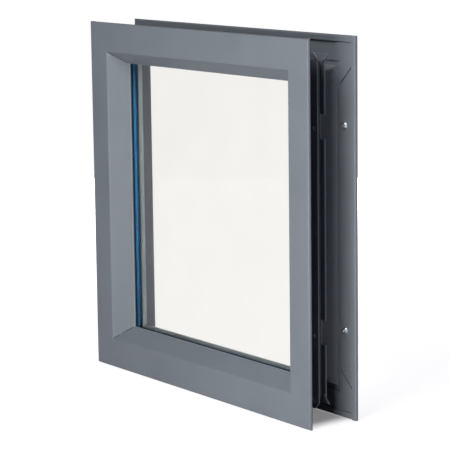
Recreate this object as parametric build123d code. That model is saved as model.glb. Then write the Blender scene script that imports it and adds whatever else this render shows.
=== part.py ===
from build123d import *
import os
from math import hypot, radians, tan

# Door vision panel: two mitred sheet-steel frame halves that clamp a door leaf from both faces
# and press one glass pane between their glazing returns on strips of glazing tape.
# X runs across the panel, Y from the front face to the rear face, Z up.
# The origin is the middle of the bottom edge.

# Overall size and the door it clamps
frame_width = 315.0
frame_height = 315.0
door_thickness = 44.45

# Frame section, measured inward from the outer edge (setback) and back from the show face (depth)
sheet = 1.2
hem_gap = 1.0
hem_width = 5.2
hem_corner_gap = 0.6
face_width = 25.9
bevel_run = 13.2
return_depth = 20.0
inside_bend_radius = 1.2
front_return_setback = 12.2
rear_rail_return_setback = 14.0
rear_stile_return_setback = 18.5
return_corner_clip = 5.0

# Glass and glazing tape
glass_thickness = 6.0
glass_setback = 20.0
tape_width = 10.0

# Screws, countersunk from the rear face, and the notches and holes they line up with
screws_per_side = 2
screw_spacing = 169.0
screw_setback = 16.0
screw_diameter = 4.2
screw_head_diameter = 8.0
screw_cone_angle = 82.0
screw_length = 4.8
screw_tip_chamfer = 0.5
screw_seat_clearance = 0.1
tapped_hole_diameter = 3.5
notch_width = 20.4
notch_depth = 5.7

# Chevron plates that back the mitred corners
plate_thickness = 1.2
plate_inset = 5.6
plate_width = 15.4
plate_arm = 18.6

# Sizes that follow from the ones above
hem_thickness = 2 * sheet + hem_gap
bend_radius = inside_bend_radius + sheet
overall_depth = door_thickness + 2 * hem_thickness
tape_thickness = (overall_depth - 2 * return_depth - glass_thickness) / 2
slant = hypot(return_depth, bevel_run)
knee_turn = (slant - bevel_run) / return_depth
nose_turn = (slant + bevel_run) / return_depth
nose_setback = face_width + bevel_run
flat_setback = nose_setback - bend_radius * nose_turn
mitre_reach = nose_setback + sheet
show_face = -overall_depth / 2
notch_floor = rear_stile_return_setback + notch_depth

sides = {
    "top": (Rot(0, 0, 0), frame_width, Pos(0, 0, frame_height)),
    "bottom": (Rot(0, 180, 0), frame_width, Pos(0, 0, 0)),
    "left": (Rot(0, -90, 0), frame_height, Pos(-frame_width / 2, 0, frame_height / 2)),
    "right": (Rot(0, 90, 0), frame_height, Pos(frame_width / 2, 0, frame_height / 2)),
}
member_names = {
    "top": "rail_top",
    "bottom": "rail_bottom",
    "left": "stile_left",
    "right": "stile_right",
}
corners = {
    "top_right": Pos(frame_width / 2, 0, frame_height) * Rot(0, 0, 0),
    "bottom_right": Pos(frame_width / 2, 0, 0) * Rot(0, 90, 0),
    "bottom_left": Pos(-frame_width / 2, 0, 0) * Rot(0, 180, 0),
    "top_left": Pos(-frame_width / 2, 0, frame_height) * Rot(0, -90, 0),
}
screw_places = [(i - (screws_per_side - 1) / 2) * screw_spacing for i in range(screws_per_side)]


def at(depth, setback):
    """Point of the cross-section: back from the show face, and inward from the outer edge."""
    return (show_face + depth, -setback)


def strip_line(return_setback, inside):
    """Line along the strip, at a distance inside its show surface, from hem edge to return edge."""
    fold_start = at(hem_thickness - inside, hem_thickness / 2)
    fold_end = at(inside, hem_thickness / 2)
    face_to_return = FilletPolyline(
        fold_end,
        at(inside, face_width - inside * knee_turn),
        at(return_depth - inside, nose_setback - inside * nose_turn),
        at(return_depth - inside, return_setback),
        radius=bend_radius - inside,
    )
    return [
        Line(at(hem_thickness - inside, hem_width), fold_start),
        ThreePointArc(fold_start, at(hem_thickness / 2, inside), fold_end),
        *face_to_return.edges(),
    ]


def section(return_setback):
    """Cross-section of a member: open hem, flat face, bevel and glazing return, formed from one strip."""
    cut_edges = [
        Line(at(hem_thickness, hem_width), at(hem_thickness - sheet, hem_width)),
        Line(at(return_depth, return_setback), at(return_depth - sheet, return_setback)),
    ]
    return make_face(strip_line(return_setback, 0) + strip_line(return_setback, sheet) + cut_edges)


def prism(outline, near, far):
    """Solid with an outline in X and Z, between two depths behind the show face."""
    face = make_face(Polyline(*outline, close=True))
    return extrude(Plane.XZ.offset(-show_face - near) * face, amount=near - far)


def hem_zone(end):
    """Space of the folded-over half of a hem, out to both ends."""
    outline = [(-end, 0), (end, 0), (end, -2 * hem_width), (-end, -2 * hem_width)]
    return prism(outline, hem_thickness / 2, hem_thickness + sheet)


def member(run, return_setback, hem_end):
    """One mitred member along X, its outer edge at Z = 0 and its show face towards -Y."""
    end = run / 2
    bar = extrude(Plane.YZ * section(return_setback), amount=end, both=True)
    hem = bar & hem_zone(hem_end)
    inner_end = end - mitre_reach
    bar &= prism(
        [(-end, 0), (end, 0), (inner_end, -mitre_reach), (-inner_end, -mitre_reach)], 0, overall_depth
    )
    return bar - hem_zone(end) + hem


def front_member(run, hem_end):
    """Front member: clipped corners on the glazing return, and a tapped hole in it for each screw."""
    end = run / 2
    return_end = end - front_return_setback
    clip_end = front_return_setback + return_corner_clip
    clip = prism(
        [
            (return_end, -front_return_setback),
            (return_end, -clip_end),
            (end - clip_end, -front_return_setback),
        ],
        return_depth - 2 * sheet,
        return_depth + sheet,
    )
    holes = [
        Pos(x, show_face + return_depth, -screw_setback)
        * Rot(90, 0, 0)
        * Cylinder(tapped_hole_diameter / 2, 4 * sheet)
        for x in screw_places
    ]
    return member(run, front_return_setback, hem_end) - [clip, mirror(clip, about=Plane.YZ), *holes]


def rear_member(run, hem_end, return_setback):
    """Rear member, made facing the front: countersunk screw holes, and a notch for each screw."""
    half_notch = notch_width / 2
    bar = member(run, return_setback, hem_end)
    for x in screw_places:
        bar -= Pos(x, show_face, -screw_setback) * countersink(screw_head_diameter / 2, sheet)
        bar -= prism(
            [
                (x - half_notch, -hem_width),
                (x + half_notch, -hem_width),
                (x + half_notch, -notch_floor),
                (x - half_notch, -notch_floor),
            ],
            return_depth - 2 * sheet,
            return_depth + sheet,
        )
    return mirror(bar, about=Plane.XZ)


def countersink(radius, length):
    """Cone frustum along +Y from the origin, narrowing at the screw's cone angle."""
    narrow = radius - length * tan(radians(screw_cone_angle / 2))
    return Rot(-90, 0, 0) * Cone(radius, narrow, length, align=(Align.CENTER, Align.CENTER, Align.MIN))


def screw():
    """Countersunk screw, made facing the front with its head at Y = 0."""
    head_radius = screw_head_diameter / 2 - screw_seat_clearance
    shank_radius = screw_diameter / 2
    head_length = (head_radius - shank_radius) / tan(radians(screw_cone_angle / 2))
    shank = Rot(-90, 0, 0) * Cylinder(
        shank_radius, screw_length, align=(Align.CENTER, Align.CENTER, Align.MIN)
    )
    tip = shank.faces().sort_by(Axis.Y)[-1].edges()
    shank = chamfer(tip, screw_tip_chamfer)
    return countersink(head_radius, head_length) + shank


def corner_plate():
    """Chevron plate behind a mitred corner, its arms cut parallel to the mitre, corner at the origin."""
    inner = plate_inset + plate_width
    chevron = [
        (-plate_inset, -plate_inset),
        (-plate_inset - plate_arm, -plate_inset),
        (-inner - plate_arm, -inner),
        (-inner, -inner),
        (-inner, -inner - plate_arm),
        (-plate_inset, -plate_inset - plate_arm),
    ]
    return prism(chevron, sheet, sheet + plate_thickness)


parts = {}

# The two frame halves, four mitred members each; the rails' hems butt against those of the stiles
for side, (turn, run, place) in sides.items():
    is_rail = side in ("top", "bottom")
    hem_end = run / 2 - (hem_width + hem_corner_gap if is_rail else 0)
    rear_setback = rear_rail_return_setback if is_rail else rear_stile_return_setback
    parts["front_" + member_names[side]] = place * turn * front_member(run, hem_end)
    parts["rear_" + member_names[side]] = place * turn * rear_member(run, hem_end, rear_setback)

# Glass pane
parts["glass_pane"] = Pos(0, 0, frame_height / 2) * Box(
    frame_width - 2 * glass_setback, glass_thickness, frame_height - 2 * glass_setback
)

# Glazing tape on the flat of each glazing return, the upright strips between the level ones
tape_outer = flat_setback - tape_width
for side, (turn, run, place) in sides.items():
    end = run / 2 - (tape_outer if side in ("top", "bottom") else flat_setback)
    strip = prism(
        [(-end, -tape_outer), (end, -tape_outer), (end, -flat_setback), (-end, -flat_setback)],
        return_depth,
        return_depth + tape_thickness,
    )
    parts["front_tape_" + side] = place * turn * strip
    parts["rear_tape_" + side] = place * turn * mirror(strip, about=Plane.XZ)

# Corner plates behind the mitres of both halves
for corner, place in corners.items():
    plate = corner_plate()
    parts["front_corner_plate_" + corner] = place * plate
    parts["rear_corner_plate_" + corner] = place * mirror(plate, about=Plane.XZ)

# Screws in the rear half
for side, (turn, run, place) in sides.items():
    for number, x in enumerate(screw_places, start=1):
        seated = Pos(x, show_face, -screw_setback) * screw()
        parts[f"screw_{side}_{number}"] = place * turn * mirror(seated, about=Plane.XZ)

os.makedirs("parts", exist_ok=True)
for name, solid in parts.items():
    export_step(solid, f"parts/{name}.step")
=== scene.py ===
import bmesh
import bpy
from math import cos, radians
from mathutils import Matrix, Quaternion, Vector, noise


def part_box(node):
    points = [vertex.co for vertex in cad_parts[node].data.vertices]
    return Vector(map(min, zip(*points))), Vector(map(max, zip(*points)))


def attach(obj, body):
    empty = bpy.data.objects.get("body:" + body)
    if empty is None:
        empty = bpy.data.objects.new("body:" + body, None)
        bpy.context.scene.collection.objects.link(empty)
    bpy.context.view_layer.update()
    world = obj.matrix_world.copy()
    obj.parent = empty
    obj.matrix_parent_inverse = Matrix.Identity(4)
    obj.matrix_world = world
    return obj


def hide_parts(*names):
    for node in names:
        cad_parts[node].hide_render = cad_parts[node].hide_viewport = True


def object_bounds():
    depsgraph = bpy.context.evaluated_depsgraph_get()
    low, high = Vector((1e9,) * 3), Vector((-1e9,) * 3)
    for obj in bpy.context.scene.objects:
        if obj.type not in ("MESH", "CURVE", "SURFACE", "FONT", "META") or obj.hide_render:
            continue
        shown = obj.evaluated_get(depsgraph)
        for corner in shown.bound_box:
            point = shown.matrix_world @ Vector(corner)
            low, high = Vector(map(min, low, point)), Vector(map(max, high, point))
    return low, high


# Door vision panel: two mitred steel frame halves that clamp a door leaf, with one glass pane held
# between them on foam tape. The pieces come from front to rear, in the order they are put together.

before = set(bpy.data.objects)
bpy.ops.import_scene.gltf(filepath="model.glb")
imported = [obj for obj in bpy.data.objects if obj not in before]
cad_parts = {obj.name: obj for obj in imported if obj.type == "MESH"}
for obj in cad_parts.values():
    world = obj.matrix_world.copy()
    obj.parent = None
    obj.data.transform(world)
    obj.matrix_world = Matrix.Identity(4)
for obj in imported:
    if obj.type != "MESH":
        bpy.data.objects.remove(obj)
cad_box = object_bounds()

# Front frame half: two rails and two stiles, each roll-formed from one strip of 1.2 mm mild steel
# into hem, flat face, bevel and glazing return. They are mitred, welded from behind and sprayed.
members = ["rail_top", "rail_bottom", "stile_left", "stile_right"]


def linear(code):
    """Linear colour of an sRGB hex code such as 7a8187."""
    parts = [int(code[i:i + 2], 16) / 255 for i in (0, 2, 4)]
    return [c / 12.92 if c <= 0.04045 else ((c + 0.055) / 1.055) ** 2.4 for c in parts] + [1.0]


def add_node(tree, kind, sockets, **settings):
    """Adds a shader node with its settings; each named or numbered socket gets a value or a link."""
    node = tree.nodes.new(kind)
    for name, value in settings.items():
        setattr(node, name, value)
    for name, value in sockets.items():
        if isinstance(value, bpy.types.NodeSocket):
            tree.links.new(value, node.inputs[name])
        else:
            node.inputs[name].default_value = value
    return node


def calculate(tree, operation, *values, **settings):
    """Result of a calculation on values or links."""
    sockets = dict(enumerate(values))
    return add_node(tree, "ShaderNodeMath", sockets, operation=operation, **settings).outputs[0]


def remap(tree, value, span, levels, **settings):
    """Turns a span of a value into a span of levels, held at both ends."""
    sockets = {
        "Value": value, "From Min": span[0], "From Max": span[1], "To Min": levels[0], "To Max": levels[1],
    }
    return add_node(tree, "ShaderNodeMapRange", sockets, **settings).outputs["Result"]


def blend(tree, factor, start, end):
    """Colour that goes from one position and hex code to another as the factor rises."""
    ramp = add_node(tree, "ShaderNodeValToRGB", {"Fac": factor})
    for element, (position, code) in zip(ramp.color_ramp.elements, (start, end)):
        element.position = position
        element.color = linear(code)
    return ramp.outputs["Color"]


def grain(tree, where, size_m, detail=2.0):
    """Soft random pattern with patches of about the size given."""
    sockets = {"Vector": where, "Scale": 1 / size_m, "Detail": detail}
    return add_node(tree, "ShaderNodeTexNoise", sockets).outputs["Fac"]


def bare_material(name):
    """A new material, its node tree, and the object coordinates that its patterns are drawn by."""
    material = bpy.data.materials.new(name)
    material.use_nodes = True
    tree = material.node_tree
    tree.nodes.clear()
    return material, tree, add_node(tree, "ShaderNodeTexCoord", {}).outputs["Object"]


def show(tree, sockets):
    """Ends a material's node tree with one principled shader."""
    shader = add_node(tree, "ShaderNodeBsdfPrincipled", sockets)
    add_node(tree, "ShaderNodeOutputMaterial", {"Surface": shader.outputs["BSDF"]})


# Polyester powder coat on steel, satin: a soft sheen, a faint orange peel where the powder flowed out,
# a tone that drifts a little with the coat's thickness, and a colour painted on sheared edges and hem folds:
# a painted highlight on the frame, painted shade on the corner plates.
coat_drift_m = 0.045
# Orange peel is about 1 mm from crest to crest; drawn 2 mm so that it shows.
peel_m = 0.002


def sprayed_coat(name, painted_edge_code):
    """Satin grey powder coat, with a colour painted on sheared edges and folds that stands in for their light
    and shade.
    """
    material, tree, where = bare_material(name)
    drift = grain(tree, where, coat_drift_m, detail=3.0)
    tone = blend(tree, drift, (0.3, "767d83"), (0.7, "7c8389"))
    # Sheared edges and hem folds stand square to the panel's face, so their normals have no depth part.
    normal = add_node(tree, "ShaderNodeTexCoord", {}).outputs["Normal"]
    facing = add_node(tree, "ShaderNodeSeparateXYZ", {"Vector": normal})
    slope = calculate(tree, "ABSOLUTE", facing.outputs["Y"])
    # This mask picks out edges and folds for the painted edge colour: light or shade painted into the coat.
    painted_edge_mask = remap(tree, slope, (0.1, 0.4), (1.0, 0.0))
    # Inputs 6 and 7 of the mix are its two colours, and output 2 is the mixed one.
    shade = add_node(
        tree, "ShaderNodeMix", {"Factor": painted_edge_mask, 6: tone, 7: linear(painted_edge_code)}, data_type="RGBA"
    )
    peel = grain(tree, where, peel_m)
    relief = add_node(tree, "ShaderNodeBump", {"Height": peel, "Strength": 0.12, "Distance": 0.0002})
    show(tree, {
        "Base Color": shade.outputs[2], "Roughness": remap(tree, drift, (0.3, 0.7), (0.42, 0.5)),
        "Normal": relief.outputs["Normal"], "IOR": 1.5,
    })
    return material


def coat(names, material):
    """Gives nodes of the frame one material."""
    for name in names:
        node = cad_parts[name]
        node.data.materials.clear()
        node.data.materials.append(material)


# The edges and hem folds are painted paler: a painted highlight, as if light from the side caught them.
powder_coat = sprayed_coat("grey_powder_coat_satin", "a8adb2")
coat(["front_" + member for member in members], powder_coat)

# Front mitre joints and welds: the bevels meet in an open hairline joint bridged by one small tack. Behind
# it a bead joins their backs, and another the ends of the glazing returns. All of it is painted over.
corners = ["top_left", "top_right", "bottom_left", "bottom_right"]
# Places on a mitre: how far in from both outer edges, and how far behind the show face.
joint_start_mm = (26.6, 1.1)
joint_end_mm = (36.4, 15.9)
back_weld_at_mm = (28.7, 6.5)
return_weld_at_mm = {"front": (19.5, 18.6), "rear": (20.0, 20.2)}
# The joint line narrows towards the glass and is uneven along its run.
joint_width_mm = 0.9
joint_taper = 0.8
joint_sides = 8
joint_cuts = 14
joint_mean, joint_spread = 0.85, 0.5
joint_waves_per_m = 900
# Length, width and height of each bead, and the tack's place along the joint.
tack_mm = (3.0, 1.3, 0.9)
tack_at = 0.38
back_weld_mm = (8.0, 2.8, 2.2)
return_weld_mm = (7.0, 3.0, 2.2)
# Height of a bead's ripples as a share of its own, and the angle in radians that makes about five.
ripple_share = 0.1
ripple_angle = 30

# Open joint between two painted edges: a matt, nearly black line, painted shade standing for the shadow in
# the hairline gap, broken where paint has bridged it.
bridge_m = 0.003
joint_shade, tree, where = bare_material("mitre_joint_painted_shade")
joint_tone = blend(tree, grain(tree, where, bridge_m), (0.4, "1d1f22"), (0.75, "3f4448"))
show(tree, {"Base Color": joint_tone, "Roughness": 0.8, "IOR": 1.5})


def new_piece(name, mesh, material):
    """Object at the origin from a finished bmesh."""
    data = bpy.data.meshes.new(name)
    mesh.to_mesh(data)
    mesh.free()
    data.materials.append(material)
    piece = bpy.data.objects.new(name, data)
    bpy.context.scene.collection.objects.link(piece)
    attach(piece, "root")
    return piece


def corner_point(corner, half, setback_mm, depth_mm):
    """Point on a mitre: as far in from both outer edges, and that far behind the half's show face."""
    low, high = cad_box
    setback, depth = setback_mm / 1000, depth_mm / 1000
    return Vector((
        high.x - setback if "right" in corner else low.x + setback,
        low.y + depth if half == "front" else high.y - depth,
        high.z - setback if "top" in corner else low.z + setback,
    ))


def weld_bead(mesh, middle, along, facing, size_mm):
    """Adds a rippled bead to a bmesh, from its middle, the ways it runs and faces, and its size."""
    bead = bmesh.ops.create_icosphere(mesh, subdivisions=3, radius=0.5)["verts"]
    for vert in bead:
        vert.co.yz *= 1 + ripple_share * cos(vert.co.x * ripple_angle)
    bmesh.ops.scale(mesh, vec=Vector(size_mm) / 1000, verts=bead)
    turn = Matrix((along, facing.cross(along), facing)).transposed()
    bmesh.ops.rotate(mesh, cent=(0, 0, 0), matrix=turn, verts=bead)
    bmesh.ops.translate(mesh, vec=middle, verts=bead)


def joint_line(mesh, start, end):
    """Adds a narrow uneven line of painted shade along a joint to a bmesh."""
    run = end - start
    radius = joint_width_mm / 2000
    earlier = len(mesh.verts)
    line = bmesh.ops.create_cone(
        mesh, cap_ends=True, segments=joint_sides, radius1=radius, radius2=radius * joint_taper,
        depth=run.length,
    )["verts"]
    long_edges = {e for v in line for e in v.link_edges if e.calc_length() > run.length / 2}
    bmesh.ops.subdivide_edges(mesh, edges=list(long_edges), cuts=joint_cuts, use_grid_fill=True)
    mesh.verts.ensure_lookup_table()
    line = mesh.verts[earlier:]
    for vert in line:
        vert.co.xy *= joint_mean + joint_spread * noise.noise(vert.co * joint_waves_per_m)
    turn = run.to_track_quat("Z", "Y").to_matrix()
    bmesh.ops.rotate(mesh, cent=(0, 0, 0), matrix=turn, verts=line)
    bmesh.ops.translate(mesh, vec=(start + end) / 2, verts=line)


def weld_corners(half):
    """Joint lines, tacks and weld beads of one half."""
    joints, welds = bmesh.new(), bmesh.new()
    rear = Vector((0, 1 if half == "front" else -1, 0))
    for corner in corners:
        start = corner_point(corner, half, *joint_start_mm)
        end = corner_point(corner, half, *joint_end_mm)
        joint_line(joints, start, end)
        inward = Vector((end.x - start.x, 0, end.z - start.z)).normalized()
        along = (end - start).normalized()
        facing = (inward - along * inward.dot(along)).normalized()
        back = corner_point(corner, half, *back_weld_at_mm)
        ends = corner_point(corner, half, *return_weld_at_mm[half])
        weld_bead(welds, start.lerp(end, tack_at), along, facing, tack_mm)
        weld_bead(welds, back, along, -facing, back_weld_mm)
        weld_bead(welds, ends, inward, rear, return_weld_mm)
    for mesh in (joints, welds):
        for face in mesh.faces:
            face.smooth = True
    new_piece(half + "_bevel_joints", joints, joint_shade)
    new_piece(half + "_corner_welds", welds, powder_coat)


weld_corners("front")

# Front corner plates: chevrons punched from the same sheet, spot-welded behind the mitres before
# the half is sprayed, so they carry the same coat. Their edges are painted darker than the face: painted
# shade for the slits beside them.
plate_coat = sprayed_coat("grey_powder_coat_shaded_edges", "6a7076")
coat(["front_corner_plate_" + corner for corner in corners], plate_coat)

# Front glazing tape: four strips of blue closed-cell polyethylene foam, 10 mm wide, stuck to the flat
# of the glazing return. The glass squeezes them, so their edges bulge.
sides = ["top", "bottom", "left", "right"]
foam_edge_mm = 0.9
foam_edge_steps = 4
# Edges longer than this run along a strip or round the pane.
long_m = 0.1
# Faces whose normals have at least this depth part lie flat against the glass or the tape.
flat_normal = 0.99
# Cells are about 0.3 mm across; drawn 0.8 mm so that they show.
cell_m = 0.0008


def foam_material(name, pit_shade_code, wall_code, roughness, pit_strength, pit_m):
    """Polyethylene foam, from the colours of its cells' pits and walls, and how much it is pitted; the pits'
    darker colour is painted shade.
    """
    material, tree, where = bare_material(name)
    cells = add_node(tree, "ShaderNodeTexVoronoi", {"Vector": where, "Scale": 1 / cell_m})
    depth = cells.outputs["Distance"]
    pits = add_node(tree, "ShaderNodeBump", {"Height": depth, "Strength": pit_strength, "Distance": pit_m})
    show(tree, {
        "Base Color": blend(tree, depth, (0.0, pit_shade_code), (1.0, wall_code)), "Roughness": roughness,
        "Normal": pits.outputs["Normal"], "IOR": 1.5,
    })
    return material


# Foam with its skin: matt and of one even colour, with cells that show as tiny pits, painted darker there as
# painted shade.
foam = foam_material("blue_polyethylene_foam", "3182bd", "4fa3df", 0.85, 0.3, 0.0002)
# Slit edge of the same foam, where the knife opens the cells: painted navy, as painted shade for the tight
# gaps beside the glass that these edges face.
shaded_foam_edge = foam_material("slit_foam_painted_shade", "0f2439", "1f4a70", 0.95, 0.5, 0.0003)


def edged_block(node, edge_mm, steps):
    """Block in a node's box with its long edges taken off; all but the flat faces get the second material."""
    low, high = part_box(node)
    block = bmesh.new()
    bmesh.ops.create_cube(block, size=1.0)
    bmesh.ops.scale(block, vec=high - low, verts=block.verts)
    bmesh.ops.translate(block, vec=(low + high) / 2, verts=block.verts)
    long_edges = [e for e in block.edges if e.calc_length() > long_m]
    bmesh.ops.bevel(
        block, geom=long_edges, offset=edge_mm / 1000, offset_type="OFFSET", affect="EDGES",
        segments=steps, profile=0.5, material=-1,
    )
    for face in block.faces:
        face.material_index = 0 if abs(face.normal.y) > flat_normal else 1
    return block


def lay_tape(node):
    """Foam strip in the place of a tape node, its long edges bulged and its ends cut square."""
    strip = edged_block(node, foam_edge_mm, foam_edge_steps)
    for face in strip.faces:
        face.smooth = True
    piece = new_piece("foam_" + node, strip, foam)
    # The edges and ends get the navy foam: painted shade.
    piece.data.materials.append(shaded_foam_edge)
    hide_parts(node)


for side in sides:
    lay_tape("front_tape_" + side)

# Glass pane: 6 mm float glass, cut square with its sharp edges taken off by a stone, pressed between
# the two lots of tape.
arris_mm = 0.7
arris_steps = 1

# Clear float glass: fire-polished, so its faces are mirror smooth, and colourless but for a trace of warm
# film that lies unevenly where it was wiped.
wipe_m = 0.05
glass, tree, where = bare_material("clear_float_glass")
film = blend(tree, grain(tree, where, wipe_m), (0.35, "fffefa"), (0.65, "fefcf8"))
polished = add_node(
    tree, "ShaderNodeBsdfPrincipled",
    {"Base Color": film, "Roughness": 0.0, "IOR": 1.52, "Transmission Weight": 1.0},
)
# Lamps shine through the pane.
clear = add_node(tree, "ShaderNodeBsdfTransparent", {"Color": linear("a0a6a3")})
path = add_node(tree, "ShaderNodeLightPath", {})
lit = add_node(
    tree, "ShaderNodeMixShader",
    {"Fac": path.outputs["Is Shadow Ray"], 1: polished.outputs["BSDF"], 2: clear.outputs["BSDF"]},
)
add_node(tree, "ShaderNodeOutputMaterial", {"Surface": lit.outputs["Shader"]})

# Ground edge of the same glass: matt, and sea-green because the eye looks along the sheet.
# Stone scratches are about 0.1 mm apart; drawn 0.4 mm so that they show.
scratch_m = 0.0004
ground_edge, tree, where = bare_material("ground_glass_edge")
edge_tone = blend(tree, grain(tree, where, scratch_m), (0.3, "3d4a45"), (0.7, "5b6a63"))
show(tree, {"Base Color": edge_tone, "Roughness": 0.6, "IOR": 1.52})

pane = new_piece("arrissed_glass_pane", edged_block("glass_pane", arris_mm, arris_steps), glass)
pane.data.materials.append(ground_edge)
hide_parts("glass_pane")

# Rear glazing tape: the same blue foam, stuck to the flat of the rear glazing return and squeezed
# against the other side of the glass.
for side in sides:
    lay_tape("rear_tape_" + side)

# Rear frame half and its corner plates: the same strip, coat and welds, with the screws countersunk
# into the flat face and notches in the return to let them pass.
coat(["rear_" + member for member in members], powder_coat)
coat(["rear_corner_plate_" + corner for corner in corners], plate_coat)
weld_corners("rear")

# Screws: countersunk machine screws, cold-headed from steel wire with a cross recess, rolled thread
# and bright zinc plate, driven from the rear face.
screw_facets = 32
head_mm = 7.8
head_rim_mm = 0.3
head_rim_bevel_mm = 0.1
# Length of the head's cone over its step in radius, for 82 degrees.
cone_slope = 1.15
# Steps from the end of the cone to the core and to the first thread.
undercut_mm = 0.1
thread_start_mm = 0.2
thread_mm = 4.2
thread_core_mm = 3.3
thread_pitch_mm = 0.8
# Depth that the thread's ridge is sunk in the core, and half its height as a share of the pitch.
ridge_root_mm = 0.2
ridge_flank = 0.4
# Domed tip: shares of the core's radius, and how far from the end.
tip_dome_mm = ((1.0, 1.1), (0.88, 0.5), (0.55, 0.12), (0.0, 0.0))
# Cross recess: the round that it is cut in, the share of it that the arms reach, and its floor's share.
recess_mm = 4.2
recess_reach = 0.86
recess_slot_mm = 0.9
recess_depth_mm = 1.5
recess_floor = 0.55
# Points nearer than this are one, and edges that turn more than this stay crisp.
merge_m = 1e-6
crisp_degrees = 35

# Bright zinc plate on steel: a pale, slightly blue metal with fine drawing marks.
# Tool marks are about 0.05 mm apart; drawn 0.3 mm so that they show.
mark_m = 0.0003
zinc, tree, where = bare_material("bright_zinc_plated_steel")
dulled = remap(tree, grain(tree, where, mark_m), (0.3, 0.7), (0.24, 0.34))
show(tree, {"Base Color": linear("e2e4e6"), "Metallic": 1.0, "Roughness": dulled})


def draw_line(mesh, points):
    """Adds points joined by edges to a bmesh."""
    verts = [mesh.verts.new(point) for point in points]
    return verts + [mesh.edges.new(pair) for pair in zip(verts, verts[1:])]


def turn_screw(node):
    """Countersunk screw in the place of a screw node, its head to the rear and its tip to the front."""
    low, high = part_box(node)
    middle = (low + high) / 2
    length = high.y - low.y
    head, core, outer = head_mm / 2000, thread_core_mm / 2000, thread_mm / 2000
    rim, rim_bevel = head_rim_mm / 1000, head_rim_bevel_mm / 1000
    cone_end = -rim - (head - outer) * cone_slope
    recess, pitch = recess_mm / 2000, thread_pitch_mm / 1000
    screw = bmesh.new()

    # Head cone, shank and tip: a half-section spun about the axis, from the head's top at 0 down.
    section = [
        (recess, 0, 0), (head - rim_bevel, 0, 0), (head, 0, -rim_bevel), (head, 0, -rim),
        (outer, 0, cone_end), (core, 0, cone_end - undercut_mm / 1000),
    ]
    section += [(core * share, 0, height / 1000 - length) for share, height in tip_dome_mm]
    bmesh.ops.spin(
        screw, geom=draw_line(screw, section), cent=(0, 0, 0), axis=(0, 0, 1), angle=radians(360),
        steps=screw_facets, use_merge=True,
    )
    bmesh.ops.remove_doubles(screw, verts=screw.verts, dist=merge_m)

    # Cross recess: one quarter of the outline turned four times, joined to the head and sunk.
    slot, reach = recess_slot_mm / 2000, recess * recess_reach
    quarter = [(-slot, reach, 0), (slot, reach, 0), (slot, slot, 0), (reach, slot, 0)]
    bmesh.ops.spin(
        screw, geom=draw_line(screw, quarter), cent=(0, 0, 0), axis=(0, 0, -1), angle=radians(270),
        steps=3, use_duplicate=True,
    )
    loose = [v for v in screw.verts if not v.link_faces]
    bmesh.ops.remove_doubles(screw, verts=loose, dist=merge_m)
    rims = [e for e in screw.edges if e.is_wire] + [e for e in screw.edges if e.is_boundary]
    bmesh.ops.triangle_fill(screw, use_beauty=True, edges=rims, normal=(0, 0, 1))
    cross = [e for e in screw.edges if e.is_boundary]
    walls = bmesh.ops.extrude_edge_only(screw, edges=cross)["geom"]
    floor_verts = [g for g in walls if isinstance(g, bmesh.types.BMVert)]
    bmesh.ops.translate(screw, vec=(0, 0, -recess_depth_mm / 1000), verts=floor_verts)
    bmesh.ops.scale(screw, vec=(recess_floor, recess_floor, 1), verts=floor_verts)
    bmesh.ops.contextual_create(screw, geom=[e for e in screw.edges if e.is_boundary])

    # Thread: a ridge swept down the core in a helix.
    start = cone_end - thread_start_mm / 1000
    turns = int((length + start) / pitch) - 1
    root, flank = core - ridge_root_mm / 1000, pitch * ridge_flank
    ridge = [(root, 0, start + flank), (outer, 0, start), (root, 0, start - flank)]
    bmesh.ops.spin(
        screw, geom=draw_line(screw, ridge), cent=(0, 0, 0), axis=(0, 0, 1), angle=radians(360) * turns,
        steps=screw_facets * turns, dvec=(0, 0, -pitch / screw_facets),
    )

    bmesh.ops.recalc_face_normals(screw, faces=screw.faces)
    to_rear = Matrix.Rotation(radians(-90), 3, "X")
    bmesh.ops.rotate(screw, cent=(0, 0, 0), matrix=to_rear, verts=screw.verts)
    bmesh.ops.translate(screw, vec=(middle.x, high.y, middle.z), verts=screw.verts)
    for face in screw.faces:
        face.smooth = True
    for edge in screw.edges:
        edge.smooth = edge.calc_face_angle(0.0) < radians(crisp_degrees)
    piece = new_piece("threaded_" + node, screw, zinc)
    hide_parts(node)


for side in sides:
    for number in ("1", "2"):
        turn_screw("screw_" + side + "_" + number)

# Floor: a white studio table that the panel stands on, bright enough to run out to a white background.
# The glow stops under the panel, where the table keeps the shadow between the two halves.
floor_half_m = 12.0
# Distances from the panel's middle over which the glow comes up from under it to beside it.
under_width_m = (0.135, 0.158)
under_depth_m = (0.021, 0.027)
glow_under_and_beside = (0.2, 0.82)
# Distance from the panel's middle over which the table runs out to white.
white_from_m = (0.15, 0.45)
reflected_glow = 0.2


def seen_through_glass(tree, path):
    """One for a ray that has met nothing but glass on its way from the camera, else zero."""
    bounces = calculate(tree, "SUBTRACT", path.outputs["Ray Depth"], path.outputs["Transmission Depth"])
    return calculate(tree, "SUBTRACT", path.outputs["Is Transmission Ray"], bounces, use_clamp=True)


# Matt white table top: no sheen of its own, and plain white where it is seen through the glass.
floor_paint, tree, where = bare_material("white_studio_table")
path = add_node(tree, "ShaderNodeLightPath", {})
apart = add_node(tree, "ShaderNodeSeparateXYZ", {"Vector": where})
across = calculate(tree, "ABSOLUTE", apart.outputs["X"])
deep = calculate(tree, "ABSOLUTE", apart.outputs["Y"])
past_end = remap(tree, across, under_width_m, (0.0, 1.0), interpolation_type="SMOOTHSTEP")
past_face = remap(tree, deep, under_depth_m, (0.0, 1.0), interpolation_type="SMOOTHSTEP")
clear_of_panel = calculate(tree, "MAXIMUM", past_end, past_face)
near_glow = remap(tree, clear_of_panel, (0.0, 1.0), glow_under_and_beside)
distance = add_node(tree, "ShaderNodeVectorMath", {0: where}, operation="LENGTH").outputs["Value"]
far_glow = remap(tree, distance, white_from_m, (0.0, 1.0))
glow = calculate(tree, "MAXIMUM", near_glow, far_glow)
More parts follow.
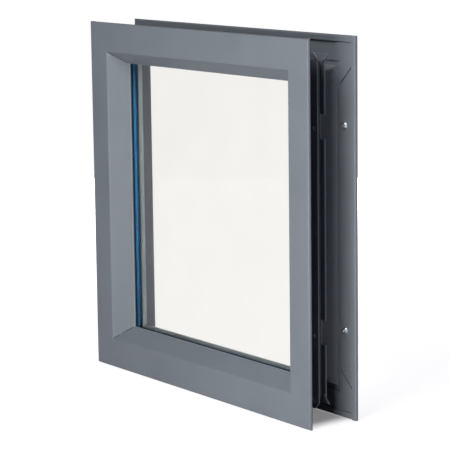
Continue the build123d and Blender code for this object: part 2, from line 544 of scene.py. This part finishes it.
# The eye sees the glow, and weakly its reflection, but it lights nothing.
glossy = calculate(tree, "MULTIPLY", path.outputs["Is Glossy Ray"], reflected_glow)
shown = calculate(tree, "MAXIMUM", path.outputs["Is Camera Ray"], glossy)
matt = add_node(
    tree, "ShaderNodeBsdfPrincipled",
    {
        "Base Color": linear("bcb8c2"), "Roughness": 0.9, "Specular IOR Level": 0.0,
        "Emission Color": linear("ffffff"), "Emission Strength": calculate(tree, "MULTIPLY", glow, shown),
    },
)
white = add_node(tree, "ShaderNodeEmission", {"Color": linear("ffffff"), "Strength": 1.0})
table_top = add_node(
    tree, "ShaderNodeMixShader",
    {"Fac": seen_through_glass(tree, path), 1: matt.outputs["BSDF"], 2: white.outputs["Emission"]},
)
add_node(tree, "ShaderNodeOutputMaterial", {"Surface": table_top.outputs["Shader"]})

table = bmesh.new()
bmesh.ops.create_grid(table, x_segments=1, y_segments=1, size=floor_half_m)
data = bpy.data.meshes.new("studio_table")
table.to_mesh(data)
table.free()
data.materials.append(floor_paint)
floor = bpy.data.objects.new("studio_table", data)
bpy.context.scene.collection.objects.link(floor)

# Light: three softboxes in front of the panel, one low, one overhead and one further off, a fill behind it
# that shows the rear half through the glass, and a surround that is white to the eye and dim on the panel.
surround_on_matt = 0.06
surround_in_gloss = 0.35
panel_middle = Vector((0, 0, 0.157))

world = bpy.data.worlds.new("white_surround")
bpy.context.scene.world = world
world.use_nodes = True
tree = world.node_tree
tree.nodes.clear()
path = add_node(tree, "ShaderNodeLightPath", {})
in_gloss = path.outputs["Is Glossy Ray"]
straight = calculate(tree, "MAXIMUM", path.outputs["Is Camera Ray"], seen_through_glass(tree, path))
dim = remap(tree, in_gloss, (0.0, 1.0), (surround_on_matt, surround_in_gloss))
level = calculate(tree, "MAXIMUM", straight, dim)
# Bluish where it lights matt surfaces, and neutral to the eye and in reflections.
plain = calculate(tree, "MAXIMUM", straight, in_gloss)
tint = blend(tree, plain, (0.0, "a8aef0"), (1.0, "ffffff"))
sky = add_node(tree, "ShaderNodeBackground", {"Color": tint, "Strength": level})
add_node(tree, "ShaderNodeOutputWorld", {"Surface": sky.outputs["Background"]})


def soft_lamp(name, place, width, height, watts):
    """Area lamp that faces the middle of the panel, with no mirror image of itself in the glass."""
    data = bpy.data.lights.new(name, "AREA")
    data.shape = "RECTANGLE"
    data.size = width
    data.size_y = height
    data.energy = watts
    data.cycles.use_multiple_importance_sampling = False
    lamp = bpy.data.objects.new(name, data)
    lamp.location = place
    lamp.rotation_mode = "QUATERNION"
    lamp.rotation_quaternion = (panel_middle - lamp.location).to_track_quat("-Z", "Y")
    lamp.visible_camera = False
    lamp.visible_transmission = False
    bpy.context.scene.collection.objects.link(lamp)
    return lamp


soft_lamp("low_softbox", (0.3, -0.58, 0.06), 0.36, 0.14, 2.2)
soft_lamp("overhead_softbox", (0.25, -0.5, 0.8), 0.4, 0.4, 3.35)
soft_lamp("front_softbox", (0.5, -0.9, 0.12), 0.4, 0.4, 2.4)
rear_lamp = soft_lamp("rear_softbox", (-1.0, 0.84, 0.18), 0.6, 0.3, 22.0)
# Kept out of reflections, where it would shine through the glass on to the front bevels.
rear_lamp.visible_glossy = False

# Camera: to the right of the front and a little above, with a long lens and a slight roll.
camera_aim = Vector((0.01006, 0.0, 0.14675))
camera_roll = radians(-0.745)
camera_data = bpy.data.cameras.new("camera")
camera_data.lens = 161.85
camera_data.sensor_width = 36.0
camera = bpy.data.objects.new("camera", camera_data)
camera.location = (1.39233, -1.01144, 0.43126)
camera.rotation_mode = "QUATERNION"
look = (camera_aim - camera.location).to_track_quat("-Z", "Y")
camera.rotation_quaternion = look @ Quaternion((0, 0, 1), camera_roll)
bpy.context.scene.collection.objects.link(camera)
bpy.context.scene.camera = camera

bpy.context.scene.view_settings.view_transform = "Standard"
